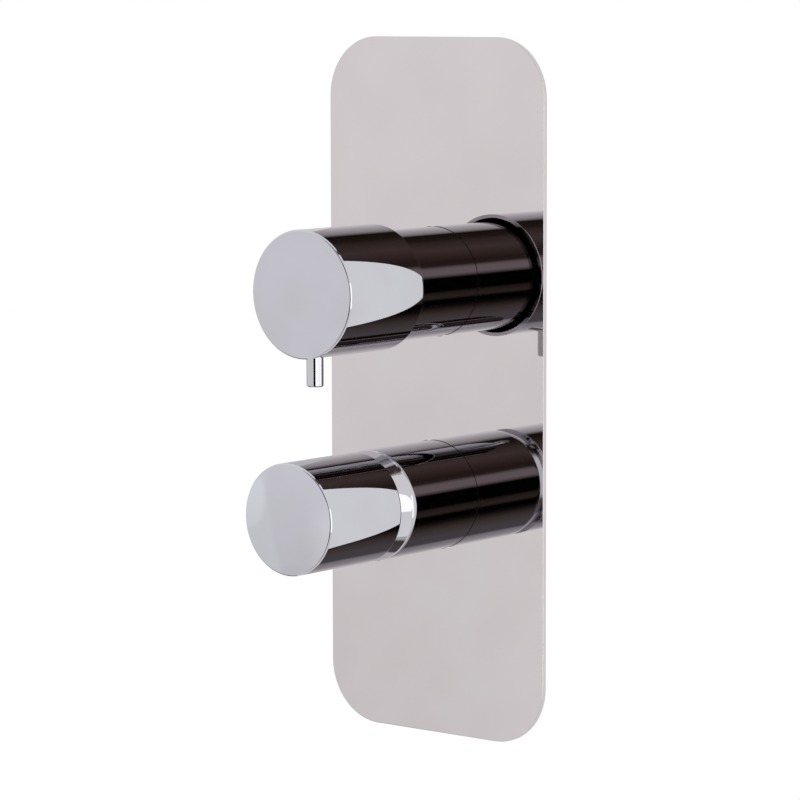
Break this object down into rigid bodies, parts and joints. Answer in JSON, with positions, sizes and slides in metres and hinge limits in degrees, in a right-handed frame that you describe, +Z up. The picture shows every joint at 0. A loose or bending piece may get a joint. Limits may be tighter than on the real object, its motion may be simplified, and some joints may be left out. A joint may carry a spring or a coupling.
{
  "type": "concealed shower mixer",
  "caption": "Concealed shower mixer: rounded wall plate, tilting mixer knob with a pin lever above a rotary diverter knob, on a brass in-wall body.",
  "frame": {"origin": "on the finished wall's plane, midway between the two handle axes", "axes": "+X to the user's right, +Y into the wall, +Z up"},
  "size_m": [0.12, 0.1692, 0.31],
  "materials": {
    "polished_chrome": "mirror polished plating",
    "cast_brass": "sand cast, machined at the ports",
    "turned_brass": "turned",
    "zinc_plated_steel": "bright zinc plated",
    "stainless_steel": "plain stainless",
    "alumina_ceramic": "lapped",
    "white_acetal": "moulded",
    "grey_nylon": "moulded, glass filled",
    "red_acetal": "moulded",
    "black_rubber": "moulded",
    "grey_foam": "closed cell foam",
    "red_fibre": "vulcanised fibre"
  },
  "bodies": {
    "root": {"face_plate": "polished_chrome", "plate_gasket": "grey_foam", "plate_bushes": "grey_nylon", "plate_bush_rings": "black_rubber", "mixer_sleeve": "polished_chrome", "diverter_sleeve": "polished_chrome", "sleeve_rings": "black_rubber", "valve_body": "cast_brass", "plug_washer": "red_fibre", "waterway_plug": "turned_brass", "mounting_bracket": "zinc_plated_steel", "bracket_screws": "zinc_plated_steel", "mixer_cartridge_base": "grey_nylon", "diverter_cartridge_base": "grey_nylon", "mixer_base_seals": "black_rubber", "mixer_disc_seals": "black_rubber", "diverter_base_seals": "black_rubber", "diverter_disc_seals": "black_rubber", "mixer_fixed_disc": "alumina_ceramic", "diverter_fixed_disc": "alumina_ceramic", "mixer_cartridge_housing": "grey_nylon", "diverter_cartridge_housing": "grey_nylon", "mixer_stop_ring": "red_acetal", "mixer_retaining_nut": "turned_brass", "diverter_retaining_nut": "turned_brass"},
    "mixer_turret": {"mixer_carrier": "white_acetal", "mixer_lever_pin": "stainless_steel"},
    "mixer_handle": {"mixer_lever": "turned_brass", "mixer_stem_extension": "turned_brass", "mixer_extension_screw": "zinc_plated_steel", "mixer_knob": "polished_chrome", "mixer_knob_grub": "stainless_steel", "mixer_pin_lever": "polished_chrome"},
    "flow_disc": {"mixer_moving_disc": "alumina_ceramic", "mixer_disc_driver": "white_acetal"},
    "diverter_handle": {"diverter_rotor_disc": "alumina_ceramic", "diverter_spindle": "turned_brass", "diverter_spindle_ring": "black_rubber", "diverter_stem_extension": "turned_brass", "diverter_extension_screw": "zinc_plated_steel", "diverter_knob": "polished_chrome", "diverter_knob_grub": "stainless_steel"}
  },
  "joints": [
    {"name": "temperature_turn", "type": "hinge", "parent": "root", "child": "mixer_turret", "pos_m": [0, -0.0374, 0.0475], "axis": [0, -1, 0], "range_deg": [-50, 50]},
    {"name": "flow_tilt", "type": "hinge", "parent": "mixer_turret", "child": "mixer_handle", "pos_m": [0, -0.0374, 0.0475], "axis": [-1, 0, 0], "range_deg": [0, 25]},
    {"name": "flow_disc_slide", "type": "slide", "parent": "mixer_turret", "child": "flow_disc", "axis": [0, 0, -1], "range_m": [0, 0.00381]},
    {"name": "diverter_turn", "type": "hinge", "parent": "root", "child": "diverter_handle", "pos_m": [0, -0.0374, -0.0475], "axis": [0, -1, 0], "range_deg": [0, 90]}
  ],
  "couplings": [
    {"joint": "flow_disc_slide", "follows": "flow_tilt", "m_per_rad": 0.0087172}
  ]
}
